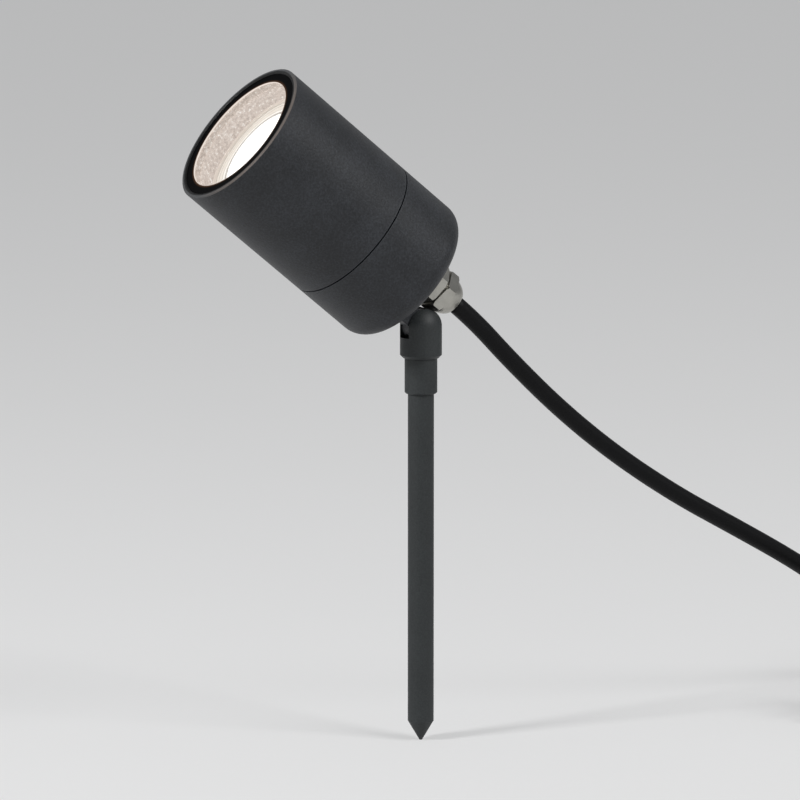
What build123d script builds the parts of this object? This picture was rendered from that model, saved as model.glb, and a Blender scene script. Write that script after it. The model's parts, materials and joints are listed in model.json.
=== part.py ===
"""Garden spike spotlight: a round spotlight head on a swivelling, tilting knuckle and a pointed rod.

Millimetres, +Z up. The origin is on the rod's axis where the rod leaves its collar, which is
the ground line in use. The head faces -Y and the tilt plane is YZ.
"""

import os
from math import atan2, ceil, cos, degrees, dist, pi, radians, sin, tan

from build123d import *

os.makedirs("parts", exist_ok=True)

# ---------------------------------------------------------------- driving dimensions
# Head: a tube in two shells on one axis
head_radius = 30.0
head_length = 91.5
seam_depth = 58.9  # front shell's length, from the front rim back
seam_width = 0.6
rim_wall = 2.1  # lip round the glass
rim_chamfer = 0.4
housing_wall = 3.0
back_rounding = 7.0
cap_floor = 3.5
spigot_length = 9.0
spigot_wall = 2.3

# Glass and its ring
ring_recess = 0.5
ring_thickness = 0.6
aperture_radius = 24.0
glass_thickness = 4.0
gasket_thickness = 1.0
gasket_width = 2.2

# Lamp with a twist-and-lock base
lamp_recess = 13.5  # lamp's face, from the front rim back
lamp_radius = 25.0
lamp_length = 54.0  # face to pin tips
lamp_wall = 1.2
lens_thickness = 2.2
lens_step = 0.4
lamp_neck_radius = 12.5
lamp_bowl_depth = 28.0
base_radius = 11.5
pin_length = 7.2
pin_radius = 1.5
pin_head_radius = 2.5
pin_head_length = 2.4
pin_circle = 5.0
twist_angle = 20.0
source_radius = 9.0

# Lamp holder, its bracket and the connections behind it
holder_radius = 14.0
holder_length = 13.8
holder_plate = 4.3  # front wall that the pin heads lock behind
bracket_thickness = 1.2
bracket_width = 14.0
post_spacing = 36.0
post_radius = 3.5
screw_radius = 1.5
screw_head_radius = 2.8
screw_head_height = 1.8
screw_grip = 5.0
holder_screw_offset = 9.0
terminal_size = (19.0, 10.0, 8.0)
terminal_offset = 13.5
terminal_pitch = 10.0
contact_radius = 2.2
earth_place = (-14.5, 14.0)  # across and above the head's axis
earth_boss_radius = 3.0
earth_boss_height = 3.0
earth_lug_thickness = 0.6
earth_lug_reach = 6.0
earth_lug_width = 5.0
core_radius = 0.9
core_bend = 1.2

# Cable gland
gland_offset = 3.9  # above the head's axis
gland_across_flats = 15.5
gland_thread_radius = 6.0
gland_washer_thickness = 1.5
gland_washer_radius = 8.2
gland_flange_radius = 7.4
gland_flange_thickness = 2.5
gland_body_hex = 7.0
gland_body_turn = 71.5  # first corner's angle from straight up, towards +X
gland_gap = 0.9
gland_nut_hex = 4.2
gland_nut_turn = 80.8
gland_nose_length = 5.0
gland_nose_radius = 5.4
gland_inner_length = 4.0
gland_locknut_height = 3.5

# Tilt knuckle
rest_tilt = 39.5  # head's axis above the horizontal
pivot_height = 25.8
pivot_to_back = 16.0
pivot_to_axis = 11.2
knuckle_radius = 8.0
knuckle_chamfer = 1.2
slot_width = 7.6
slot_clearance = 0.3  # round the lug and its tab
slot_back_drop = 3.0  # below the pivot at the back, for the gland's nut when the head points up
lug_thickness = 6.4
lug_radius = 6.4
lug_tab_half_width = 3.8
pivot_screw_radius = 2.0
pivot_head_radius = 3.4
pivot_head_height = 2.4
pivot_screw_reach = 6.6
friction_washer_radius = 4.6

# Swivel, collar and rod
collar_radius = 6.25
collar_height = 13.5
swivel_gap = 0.15
swivel_spigot_radius = 4.0
swivel_spigot_height = 4.5
swivel_groove_depth = 0.9
swivel_groove_width = 1.9
grub_radius = 1.5
grub_tip_radius = 0.8
rod_radius = 5.0
rod_length = 135.0
rod_cone = 7.6
rod_tip_radius = 0.5
rod_stub_radius = 4.0
rod_stub_length = 8.5

# Clearances
fit_gap = 0.05  # radial, between pieces of one body
running_gap = 0.08  # radial, round a shaft that turns
sliding_gap = 0.3  # between pieces that slide past each other

# Cable, its coil and its plug, lying at the level of the rod's tip
cable_radius = 3.5
coil_pitch = 7.6  # turn to turn, and layer to layer
coil_outer_radius = 43.0
coil_left_x = -26.5  # where the cable comes into the coil
coil_centre_y = 261.5
coil_steps_in = [0, 1, 2, 3, 4, 3, 2, 1]  # pitches by which each half turn's width is less
coil_last_rises = (5.5, 3.5)  # of the last two half turns, up and over the one below
straight_end = 7.0  # straight length at either end of the coil
coil_lead_in = 15.5  # from the route's last bend to the coil's start
tie_thickness = 1.0
tie_width = 4.8
tie_head = 7.0
plug_x = 46.0
plug_radius = 19.0
plug_half_width = 16.8  # to each of the flange's two flats
plug_body_length = 38.0
plug_flange = 10.0
plug_neck_radius = 8.5
relief_length = 22.0
relief_radius = 5.0
relief_bore_depth = 6.0
relief_bore_gap = 0.15
plug_pin_radius = 2.4
plug_pin_length = 19.0
plug_pin_spacing = 19.0
plug_start_y = 230.5
tail_dip = 12.5  # from the tail's first bend to the plug's start
contact_width = 4.0
contact_thickness = 1.0
contact_recess = 0.5

# ---------------------------------------------------------------- frames worked out from them
floor_z = -rod_length
cable_floor_z = floor_z + tie_thickness + sliding_gap + cable_radius
slope = radians(rest_tilt)
forward = Vector(0, -cos(slope), sin(slope))
rise = Vector(0, sin(slope), cos(slope))
pivot = Vector(0, 0, pivot_height)
back_centre = pivot + forward * pivot_to_back + rise * pivot_to_axis
front_centre = back_centre + forward * head_length

# Depth runs back from the front rim along head_axis; section sketches have it as their Y.
head_axis = Axis(front_centre, -forward)
head_section = Plane(origin=front_centre, x_dir=(1, 0, 0), z_dir=rise)
gland_line = front_centre + rise * gland_offset
gland_axis = Axis(gland_line, -forward)
gland_section = Plane(origin=gland_line, x_dir=(1, 0, 0), z_dir=rise)
pivot_plane = Plane(origin=pivot, x_dir=(0, 1, 0), z_dir=(1, 0, 0))


def across(depth, centre=front_centre):
    """Plane square to the head's axis at a depth; its X is the part's X and its Y runs up."""
    return Plane(origin=centre - forward * depth, x_dir=(1, 0, 0), z_dir=forward)


def in_head(x, up, depth):
    """Point given across, above and behind the centre of the front rim."""
    return front_centre + Vector(1, 0, 0) * x + rise * up - forward * depth


def hexagon_radius(across_flats):
    return across_flats / 2 / cos(pi / 6)


def bend_radii(points, share=0.45):
    """Arc for each inner corner: share of the shorter run over the tangent of half the turn."""
    radii = []
    for before, here, after in zip(points, points[1:], points[2:]):
        first = Vector(*here) - Vector(*before)
        second = Vector(*after) - Vector(*here)
        turn = radians(first.get_angle(second))
        radii.append(share * min(first.length, second.length) / tan(turn / 2))
    return radii


def write(part, name):
    part.label = name
    export_step(part, f"parts/{name}.step")


# ---------------------------------------------------------------- sizes that follow
housing_bore = head_radius - housing_wall
rim_bore = head_radius - rim_wall
glass_front = ring_recess + ring_thickness
glass_back = glass_front + glass_thickness
shoulder_depth = glass_back + gasket_thickness
seat_radius = rim_bore - fit_gap
cap_front = seam_depth + seam_width
spigot_front = cap_front - spigot_length
spigot_radius = housing_bore - sliding_gap
cavity_radius = spigot_radius - spigot_wall
floor_depth = head_length - cap_floor
o_ring_radius = 0.85
o_ring_depth = spigot_front + spigot_length / 2
o_ring_centre = spigot_radius - o_ring_radius + 0.1
base_front = lamp_recess + lamp_bowl_depth
base_back = lamp_recess + lamp_length - pin_length
holder_front = base_back + 0.2
holder_back = holder_front + holder_length
bracket_back = holder_back + bracket_thickness
pin_tips = lamp_recess + lamp_length
slot_tilts = [twist_angle * step / 4 for step in range(5)]
screw_shank = screw_radius - fit_gap

# ---------------------------------------------------------------- rod and collar
with BuildPart() as spike_rod:
    with BuildSketch(Plane.XZ):
        with BuildLine():
            Polyline(
                (0, rod_stub_length),
                (rod_stub_radius - fit_gap, rod_stub_length),
                (rod_stub_radius - fit_gap, 0),
                (rod_radius, 0),
                (rod_radius, rod_cone - rod_length),
                (rod_tip_radius, -rod_length),
                (0, -rod_length),
                close=True,
            )
        make_face()
    revolve(axis=Axis.Z)
write(spike_rod.part, "spike_rod")

spigot_top = collar_height + swivel_spigot_height
groove_top = spigot_top - swivel_groove_width / 3
groove_bottom = groove_top - swivel_groove_width
with BuildPart() as spike_collar:
    Cylinder(collar_radius, collar_height, align=(Align.CENTER, Align.CENTER, Align.MIN))
    chamfer(spike_collar.edges().sort_by(Axis.Z)[0], 0.5)
    with BuildSketch(Plane.XY.offset(collar_height)):
        Circle(swivel_spigot_radius - running_gap)
    extrude(amount=swivel_spigot_height)
    with BuildSketch(Plane.XY.offset(groove_bottom)):
        Circle(swivel_spigot_radius + 1)
        Circle(swivel_spigot_radius - swivel_groove_depth, mode=Mode.SUBTRACT)
    extrude(amount=swivel_groove_width, mode=Mode.SUBTRACT)
    with BuildSketch(Plane.XY):
        Circle(rod_stub_radius)
    extrude(amount=rod_stub_length + 0.5, mode=Mode.SUBTRACT)
write(spike_collar.part, "spike_collar")

# ---------------------------------------------------------------- knuckle, a ball-ended fork
knuckle_bottom = collar_height + swivel_gap
grub_height = groove_bottom + swivel_groove_width / 2
screw_seat = -knuckle_radius + 0.4 + pivot_head_height  # inner end of the screw head's pocket
with BuildPart() as knuckle:
    with BuildSketch(Plane.XZ):
        with BuildLine():
            Line((0, knuckle_bottom), (knuckle_radius - knuckle_chamfer, knuckle_bottom))
            Line(
                (knuckle_radius - knuckle_chamfer, knuckle_bottom),
                (knuckle_radius, knuckle_bottom + knuckle_chamfer),
            )
            Line((knuckle_radius, knuckle_bottom + knuckle_chamfer), (knuckle_radius, pivot_height))
            CenterArc((0, pivot_height), knuckle_radius, 0, 90)
            Line((0, pivot_height + knuckle_radius), (0, knuckle_bottom))
        make_face()
    revolve(axis=Axis.Z)
    # The slot is round about the pivot and open above it. It is also open to the front, for the tab when
    # the head is level, and to the back, for the gland's nut when the head points up.
    with BuildSketch(Plane(origin=pivot, x_dir=(0, -1, 0), z_dir=(-1, 0, 0))):
        Circle(lug_radius + slot_clearance)
        with Locations((0, knuckle_radius)):
            Rectangle(4 * knuckle_radius, 2 * knuckle_radius)
        with Locations((knuckle_radius, 0)):
            Rectangle(2 * knuckle_radius, 2 * (lug_tab_half_width + slot_clearance))
        with Locations((-knuckle_radius, 0)):
            Rectangle(2 * knuckle_radius, 2 * slot_back_drop)
    extrude(amount=slot_width / 2, both=True, mode=Mode.SUBTRACT)
    with BuildSketch(Plane.XY.offset(knuckle_bottom)):
        Circle(swivel_spigot_radius)
    extrude(amount=swivel_spigot_height - swivel_gap + 0.1, mode=Mode.SUBTRACT)
    with BuildSketch(pivot_plane.offset(-2 * knuckle_radius)):
        Circle(pivot_screw_radius)
    extrude(amount=2 * knuckle_radius + pivot_screw_reach + 0.2, mode=Mode.SUBTRACT)
    with BuildSketch(pivot_plane.offset(-2 * knuckle_radius)):
        Circle(pivot_head_radius + fit_gap)
    extrude(amount=2 * knuckle_radius + screw_seat, mode=Mode.SUBTRACT)
    with BuildSketch(Plane.YZ):
        with Locations((0, grub_height)):
            Circle(grub_radius)
    extrude(amount=-2 * knuckle_radius, mode=Mode.SUBTRACT)
write(knuckle.part, "knuckle")

with BuildPart() as swivel_grub_screw:
    with BuildSketch(Plane.YZ.offset(0.3 - knuckle_radius)):
        with Locations((0, grub_height)):
            Circle(grub_radius - fit_gap)
            RegularPolygon(hexagon_radius(1.5), 6, mode=Mode.SUBTRACT)
    extrude(amount=1.2)
    with BuildSketch(Plane.YZ.offset(1.5 - knuckle_radius)):
        with Locations((0, grub_height)):
            Circle(grub_radius - fit_gap)
    extrude(amount=knuckle_radius - 1.5 - swivel_spigot_radius - 0.2)
    with BuildSketch(Plane.YZ.offset(-swivel_spigot_radius - 0.2)):
        with Locations((0, grub_height)):
            Circle(grub_tip_radius)
    extrude(amount=swivel_groove_depth)
write(swivel_grub_screw.part, "swivel_grub_screw")

with BuildPart() as pivot_screw:
    with BuildSketch(pivot_plane.offset(screw_seat)):
        Circle(pivot_head_radius)
    extrude(amount=-pivot_head_height)
    with BuildSketch(pivot_plane.offset(screw_seat - pivot_head_height)):
        RegularPolygon(hexagon_radius(2.5), 6)
    extrude(amount=1.5, mode=Mode.SUBTRACT)
    with BuildSketch(pivot_plane.offset(screw_seat)):
        Circle(pivot_screw_radius - fit_gap)
    extrude(amount=pivot_screw_reach - screw_seat)
write(pivot_screw.part, "pivot_screw")

washer_gap = 0.05
washer_thickness = (slot_width - lug_thickness) / 2 - 2 * washer_gap
with BuildPart() as friction_washers:
    for side in (-1, 1):
        with BuildSketch(pivot_plane.offset(side * (lug_thickness / 2 + washer_gap))):
            Circle(friction_washer_radius)
            Circle(pivot_screw_radius + fit_gap, mode=Mode.SUBTRACT)
        extrude(amount=side * washer_thickness)
write(friction_washers.part, "friction_washers")

# ---------------------------------------------------------------- front shell and glass
with BuildPart() as front_housing:
    with BuildSketch(head_section):
        with BuildLine():
            Polyline(
                (rim_bore, 0),
                (head_radius, 0),
                (head_radius, seam_depth),
                (housing_bore, seam_depth),
                (housing_bore, shoulder_depth),
                (rim_bore, shoulder_depth),
                close=True,
            )
        make_face()
    revolve(axis=head_axis)
    front_rim = front_housing.edges().filter_by(GeomType.CIRCLE).sort_by(head_axis)[:2]
    chamfer(front_rim, rim_chamfer)
write(front_housing.part, "front_housing")


def ring(name, outer, inner, start, thickness):
    """Flat ring, or disc where inner is 0, on the head's axis."""
    with BuildPart() as piece:
        with BuildSketch(across(start)):
            Circle(outer)
            if inner:
                Circle(inner, mode=Mode.SUBTRACT)
        extrude(amount=-thickness)
    write(piece.part, name)


ring("retaining_ring", seat_radius, aperture_radius, ring_recess, ring_thickness)
ring("front_glass", seat_radius, 0, glass_front, glass_thickness)
ring("glass_gasket", seat_radius, seat_radius - gasket_width, glass_back, gasket_thickness)

# ---------------------------------------------------------------- rear cap with the pivot lug
with BuildPart() as rear_cap:
    with BuildSketch(head_section):
        with BuildLine():
            Polyline(
                (cavity_radius, spigot_front),
                (spigot_radius, spigot_front),
                (spigot_radius, cap_front),
                (head_radius, cap_front),
                (head_radius, head_length - back_rounding),
            )
            CenterArc(
                (head_radius - back_rounding, head_length - back_rounding), back_rounding, 0, 90
            )
            Polyline(
                (head_radius - back_rounding, head_length),
                (0, head_length),
                (0, floor_depth),
                (cavity_radius, floor_depth),
                (cavity_radius, spigot_front),
            )
        make_face()
    revolve(axis=head_axis)
    # O-ring groove
    with BuildSketch(head_section):
        with Locations((o_ring_centre, o_ring_depth)):
            Rectangle(2 * (o_ring_radius + 0.05), 2 * (o_ring_radius + 0.15))
        with Locations((spigot_radius, o_ring_depth)):
            Rectangle(1, 2 * (o_ring_radius + 0.15))
    revolve(axis=head_axis, mode=Mode.SUBTRACT)
    # Pivot lug: a tab from the back face to a round end about the pivot
    with BuildSketch(Plane(origin=pivot, x_dir=forward, z_dir=(1, 0, 0)).offset(-lug_thickness / 2)):
        Circle(lug_radius)
        with Locations(((pivot_to_back + 1) / 2, 0)):
            Rectangle(pivot_to_back + 1, 2 * lug_tab_half_width)
        Circle(pivot_screw_radius - fit_gap + running_gap, mode=Mode.SUBTRACT)
    extrude(amount=lug_thickness)
    # Posts for the holder bracket and the earth boss stand on the floor
    with BuildSketch(across(floor_depth + 0.5)):
        with GridLocations(post_spacing, 0, 2, 1):
            Circle(post_radius)
    extrude(amount=floor_depth + 0.5 - bracket_back)
    with BuildSketch(across(bracket_back)):
        with GridLocations(post_spacing, 0, 2, 1):
            Circle(screw_radius)
    extrude(amount=-screw_grip - 0.5, mode=Mode.SUBTRACT)
    with BuildSketch(across(floor_depth + 0.5)):
        with Locations(earth_place):
            Circle(earth_boss_radius)
    extrude(amount=earth_boss_height + 0.5)
    with BuildSketch(across(floor_depth - earth_boss_height)):
        with Locations(earth_place):
            Circle(screw_radius)
    extrude(amount=-screw_grip, mode=Mode.SUBTRACT)
    # Gland's hole
    with BuildSketch(across(floor_depth - 1)):
        with Locations((0, gland_offset)):
            Circle(gland_thread_radius)
    extrude(amount=-cap_floor - 2, mode=Mode.SUBTRACT)
write(rear_cap.part, "rear_cap")

with BuildPart() as housing_o_ring:
    with BuildSketch(head_section):
        with Locations((o_ring_centre, o_ring_depth)):
            Circle(o_ring_radius)
    revolve(axis=head_axis)
write(housing_o_ring.part, "housing_o_ring")

# ---------------------------------------------------------------- lamp
bowl_end = lamp_recess + lamp_bowl_depth
rim_back = lamp_recess + lens_thickness + 0.5
with BuildPart() as lamp_reflector:
    with BuildSketch(head_section):
        with BuildLine():
            Line((lamp_radius - lamp_wall, lamp_recess), (lamp_radius, lamp_recess))
            Line((lamp_radius, lamp_recess), (lamp_radius, rim_back))
            ThreePointArc(
                (lamp_radius, rim_back),
                (lamp_radius * 0.8, (rim_back + bowl_end) / 2),
                (lamp_neck_radius, bowl_end),
            )
            Line((lamp_neck_radius, bowl_end), (lamp_neck_radius - lamp_wall, bowl_end))
            ThreePointArc(
                (lamp_neck_radius - lamp_wall, bowl_end),
                (lamp_radius * 0.8 - lamp_wall, (rim_back + bowl_end) / 2 - 0.4),
                (lamp_radius - lamp_wall, rim_back - 0.5),
            )
            Line((lamp_radius - lamp_wall, rim_back - 0.5), (lamp_radius - lamp_wall, lamp_recess))
        make_face()
    revolve(axis=head_axis)
write(lamp_reflector.part, "lamp_reflector")

lens_radius = lamp_radius - lamp_wall - fit_gap
lens_back = lamp_recess + lens_thickness
lens_rings = [lens_radius * share for share in (0.93, 0.84, 0.75, 0.66)]
with BuildPart() as lamp_lens:
    with BuildSketch(head_section):
        with BuildLine():
            edge = [(0, lens_back), (lens_radius, lens_back), (lens_radius, lamp_recess)]
            for ring_radius in lens_rings:
                edge.append((ring_radius, lamp_recess))
                edge.append((ring_radius, lamp_recess + lens_step))
                edge.append((ring_radius - 1.4, lamp_recess))
            edge.append((0, lamp_recess))
            Polyline(*edge, close=True)
        make_face()
    revolve(axis=head_axis)
write(lamp_lens.part, "lamp_lens")

ring("lamp_source", source_radius, 0, bowl_end - 2.5, 2.5)

with BuildPart() as lamp_base:
    with BuildSketch(across(base_front)):
        Circle(base_radius)
    extrude(amount=-(base_back - base_front))
    chamfer(lamp_base.edges().filter_by(GeomType.CIRCLE).sort_by(head_axis)[-1], 1.0)
write(lamp_base.part, "lamp_base")

with BuildPart() as lamp_pins:
    with BuildSketch(across(base_back)):
        with GridLocations(2 * pin_circle, 0, 2, 1):
            Circle(pin_radius)
    extrude(amount=-pin_length)
    with BuildSketch(across(pin_tips)):
        with GridLocations(2 * pin_circle, 0, 2, 1):
            Circle(pin_head_radius)
    extrude(amount=pin_head_length)
write(lamp_pins.part, "lamp_pins")

# ---------------------------------------------------------------- lamp holder and bracket
cavity_front = holder_front + holder_plate
cavity_back = pin_tips + 0.3
lead_depth = holder_front + holder_length * 0.72
with BuildPart() as lamp_holder:
    with BuildSketch(across(holder_front)):
        Circle(holder_radius)
    extrude(amount=-holder_length)
    # Keyholes: a narrow slot where the pins lock and a round way in at the unlocked end
    for tilt_angle in slot_tilts:
        with BuildSketch(across(holder_front)):
            with PolarLocations(pin_circle, 2, start_angle=tilt_angle):
                Circle(pin_radius + 0.25)
        extrude(amount=-holder_plate, mode=Mode.SUBTRACT)
        with BuildSketch(across(cavity_front)):
            with PolarLocations(pin_circle, 2, start_angle=tilt_angle):
                Circle(pin_head_radius + 0.3)
        extrude(amount=-(cavity_back - cavity_front), mode=Mode.SUBTRACT)
    with BuildSketch(across(holder_front)):
        with PolarLocations(pin_circle, 2, start_angle=twist_angle):
            Circle(pin_head_radius + 0.3)
    extrude(amount=-holder_plate, mode=Mode.SUBTRACT)
    with BuildSketch(across(cavity_back)):
        with GridLocations(2 * pin_circle, 0, 2, 1):
            Circle(contact_radius + fit_gap)
    extrude(amount=-(holder_back - cavity_back), mode=Mode.SUBTRACT)
    with BuildSketch(across(holder_front)):
        with GridLocations(0, 2 * holder_screw_offset, 1, 2):
            Circle(screw_radius + 0.1)
    extrude(amount=-holder_length, mode=Mode.SUBTRACT)
    with BuildSketch(across(holder_front)):
        with GridLocations(0, 2 * holder_screw_offset, 1, 2):
            Circle(screw_head_radius + 0.2)
    extrude(amount=-screw_head_height - 0.2, mode=Mode.SUBTRACT)
    # Holes in the side for the two leads
    with BuildSketch(Plane(origin=in_head(0, 0, lead_depth), x_dir=(1, 0, 0), z_dir=-rise)):
        with GridLocations(terminal_pitch, 0, 2, 1):
            Circle(core_radius + 0.2)
    extrude(amount=holder_radius + 1, mode=Mode.SUBTRACT)
write(lamp_holder.part, "lamp_holder")

with BuildPart() as holder_contacts:
    with BuildSketch(across(cavity_back)):
        with GridLocations(2 * pin_circle, 0, 2, 1):
            Circle(contact_radius)
    extrude(amount=-(holder_back - cavity_back))
write(holder_contacts.part, "holder_contacts")

bracket_length = post_spacing + 2 * post_radius
with BuildPart() as holder_bracket:
    with BuildSketch(across(holder_back)):
        SlotOverall(bracket_length, bracket_width)
        RectangleRounded(bracket_width, 2 * holder_screw_offset + bracket_width / 2, 3)
        with GridLocations(post_spacing, 0, 2, 1):
            Circle(screw_radius + 0.1, mode=Mode.SUBTRACT)
        with GridLocations(0, 2 * holder_screw_offset, 1, 2):
            Circle(screw_radius, mode=Mode.SUBTRACT)
    extrude(amount=-bracket_thickness)
write(holder_bracket.part, "holder_bracket")


def screws(name, plane, places, grip):
    """Pan-head screws with a cross recess, their heads standing up from a plane."""
    with BuildPart() as group:
        with BuildSketch(plane):
            with Locations(*places):
                Circle(screw_head_radius)
        extrude(amount=screw_head_height)
        with BuildSketch(plane.offset(screw_head_height)):
            with Locations(*places):
                Rectangle(2.4, 0.5)
                Rectangle(0.5, 2.4)
        extrude(amount=-0.9, mode=Mode.SUBTRACT)
        with BuildSketch(plane):
            with Locations(*places):
                Circle(screw_shank)
        extrude(amount=-grip)
    write(group.part, name)


post_places = [(side * post_spacing / 2, 0) for side in (-1, 1)]
holder_places = [(0, side * holder_screw_offset) for side in (-1, 1)]
holder_screw_seat = holder_front + screw_head_height + 0.2
screws("bracket_screws", across(holder_back), post_places, screw_grip)
screws("holder_screws", across(holder_screw_seat), holder_places, bracket_back + 1 - holder_screw_seat)
lug_plane = across(floor_depth - earth_boss_height - earth_lug_thickness)
screws("earth_screw", lug_plane, [earth_place], screw_grip)

earth_arm = (Vector(0, gland_offset) - Vector(*earth_place)).normalized() * earth_lug_reach
earth_tab = (earth_place[0] + earth_arm.X, earth_place[1] + earth_arm.Y)
with BuildPart() as earth_lug:
    with BuildSketch(lug_plane):
        with Locations(earth_place):
            Circle(earth_boss_radius)
        with Locations(earth_tab):
            Circle(earth_lug_width / 2)
        with Locations((earth_place[0] + earth_arm.X / 2, earth_place[1] + earth_arm.Y / 2)):
            Rectangle(earth_lug_reach, earth_lug_width, rotation=degrees(atan2(earth_arm.Y, earth_arm.X)))
        with Locations(earth_place):
            Circle(screw_radius, mode=Mode.SUBTRACT)
    extrude(amount=-earth_lug_thickness)
write(earth_lug.part, "earth_lug")

# ---------------------------------------------------------------- terminal block
block_width, block_height, block_depth = terminal_size
wire_depth = floor_depth - block_depth / 2
terminal_places = [(side * terminal_pitch / 2, -terminal_offset) for side in (-1, 1)]
with BuildPart() as terminal_block:
    with BuildSketch(across(floor_depth)):
        with Locations((0, -terminal_offset)):
            Rectangle(block_width, block_height)
    extrude(amount=block_depth)
    with BuildSketch(across(floor_depth - block_depth)):
        with Locations(*terminal_places):
            Circle(screw_radius + 0.1)
    extrude(amount=-block_depth / 2 + core_radius, mode=Mode.SUBTRACT)
    with BuildSketch(Plane(origin=in_head(0, 0, wire_depth), x_dir=(1, 0, 0), z_dir=-rise)):
        with GridLocations(terminal_pitch, 0, 2, 1):
            Circle(core_radius + 0.2)
    extrude(amount=terminal_offset + block_height, mode=Mode.SUBTRACT)
write(terminal_block.part, "terminal_block")

with BuildPart() as terminal_screws:
    with BuildSketch(across(floor_depth - block_depth + 0.4)):
        with Locations(*terminal_places):
            Circle(screw_radius)
    extrude(amount=-(block_depth / 2 - core_radius - 0.5))
    with BuildSketch(across(floor_depth - block_depth + 0.4)):
        with Locations(*terminal_places):
            Rectangle(0.5, 2.2)
    extrude(amount=-0.8, mode=Mode.SUBTRACT)
write(terminal_screws.part, "terminal_screws")


def wire(name, route, radius, bend):
    """Insulated wire of one radius along straight runs with bends of one radius."""
    with BuildPart() as strand:
        with BuildLine():
            FilletPolyline(*route, radius=bend)
        with BuildSketch(Plane(origin=route[0], z_dir=route[1] - route[0])):
            Circle(radius)
        sweep()
    write(strand.part, name)


sheath_end = floor_depth - gland_inner_length - 0.8
wire_level = bracket_back + 2.4
turn_down = gland_offset - hexagon_radius(gland_across_flats) - core_radius - 0.7
for core_name, side in (("live_core", 1), ("neutral_core", -1)):
    start_x = side * 2 * core_radius
    entry_x = side * terminal_pitch / 2
    wire(
        core_name,
        [
            in_head(start_x, gland_offset - core_radius, sheath_end),
            in_head(start_x, gland_offset - core_radius, wire_level),
            in_head(entry_x, turn_down, wire_level),
            in_head(entry_x, turn_down, wire_depth),
            in_head(entry_x, -terminal_offset + 0.3, wire_depth),
        ],
        core_radius,
        core_bend,
    )
wire(
    "earth_core",
    [
        in_head(0, gland_offset + 2.2 * core_radius, sheath_end),
        in_head(0, gland_offset + 2.2 * core_radius, wire_level),
        in_head(*earth_tab, wire_level),
        in_head(*earth_tab, floor_depth - earth_boss_height - earth_lug_thickness),
    ],
    core_radius,
    core_bend,
)
lead_turn = terminal_offset + block_height / 2 + core_radius + 1.2
for lead_name, side in (("live_lead", 1), ("neutral_lead", -1)):
    entry_x = side * terminal_pitch / 2
    wire(
        lead_name,
        [
            in_head(entry_x, -terminal_offset - 0.3, wire_depth),
            in_head(entry_x, -lead_turn, wire_depth),
            in_head(entry_x, -lead_turn, lead_depth),
            in_head(entry_x, -contact_radius - 0.3, lead_depth),
        ],
        core_radius,
        core_bend,
    )

# ---------------------------------------------------------------- cable gland
washer_back = head_length + gland_washer_thickness
flange_back = washer_back + gland_flange_thickness
body_back = flange_back + gland_body_hex
nut_front = body_back + gland_gap
nut_back = nut_front + gland_nut_hex
nose_back = nut_back + gland_nose_length
thread_radius = gland_thread_radius - fit_gap
sheath_bore = cable_radius + fit_gap
seal_seat = thread_radius - 1.0
hex_radius = hexagon_radius(gland_across_flats)
eased_radius = (hex_radius + gland_across_flats / 2) / 2


def eased_hexagon(front, back, turn):
    """Hexagon bar on the gland's axis with its corners eased at both ends."""
    with BuildPart() as bar:
        with BuildSketch(across(front, gland_line)):
            RegularPolygon(hex_radius, 6, rotation=90 - turn)
        extrude(amount=front - back)
        with BuildSketch(gland_section):
            with BuildLine():
                Polyline(
                    (0, front),
                    (eased_radius, front),
                    (hex_radius + 0.1, front + 0.6),
                    (hex_radius + 0.1, back - 0.6),
                    (eased_radius, back),
                    (0, back),
                    close=True,
                )
            make_face()
        revolve(axis=gland_axis, mode=Mode.INTERSECT)
    return bar.part


body_hexagon = eased_hexagon(flange_back, body_back, gland_body_turn)
nut_hexagon = eased_hexagon(nut_front, nut_back, gland_nut_turn)
with BuildPart() as gland_body:
    add(body_hexagon)
    with BuildSketch(gland_section):
        with BuildLine():
            Polyline(
                (0, floor_depth - gland_inner_length),
                (thread_radius, floor_depth - gland_inner_length),
                (thread_radius, washer_back),
                (gland_flange_radius, washer_back),
                (gland_flange_radius, flange_back),
                (thread_radius, flange_back),
                (thread_radius, nut_back - 1.5),
                (0, nut_back - 1.5),
                close=True,
            )
        make_face()
    revolve(axis=gland_axis)
    with BuildSketch(across(floor_depth - gland_inner_length, gland_line)):
        Circle(sheath_bore)
    extrude(amount=-(nut_back - floor_depth + gland_inner_length), mode=Mode.SUBTRACT)
    with BuildSketch(across(body_back, gland_line)):
        Circle(seal_seat)
    extrude(amount=-gland_gap - gland_nut_hex, mode=Mode.SUBTRACT)
write(gland_body.part, "gland_body")

with BuildPart() as gland_washer:
    with BuildSketch(across(head_length, gland_line)):
        Circle(gland_washer_radius)
        Circle(gland_thread_radius, mode=Mode.SUBTRACT)
    extrude(amount=-gland_washer_thickness)
write(gland_washer.part, "gland_washer")

with BuildPart() as gland_locknut:
    with BuildSketch(across(floor_depth - gland_locknut_height, gland_line)):
        RegularPolygon(hex_radius, 6)
        Circle(gland_thread_radius, mode=Mode.SUBTRACT)
    extrude(amount=-gland_locknut_height)
write(gland_locknut.part, "gland_locknut")

with BuildPart() as gland_seal:
    with BuildSketch(across(body_back, gland_line)):
        Circle(seal_seat - fit_gap)
        Circle(sheath_bore, mode=Mode.SUBTRACT)
    extrude(amount=body_back - nut_back + 0.2)
write(gland_seal.part, "gland_seal")

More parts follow.
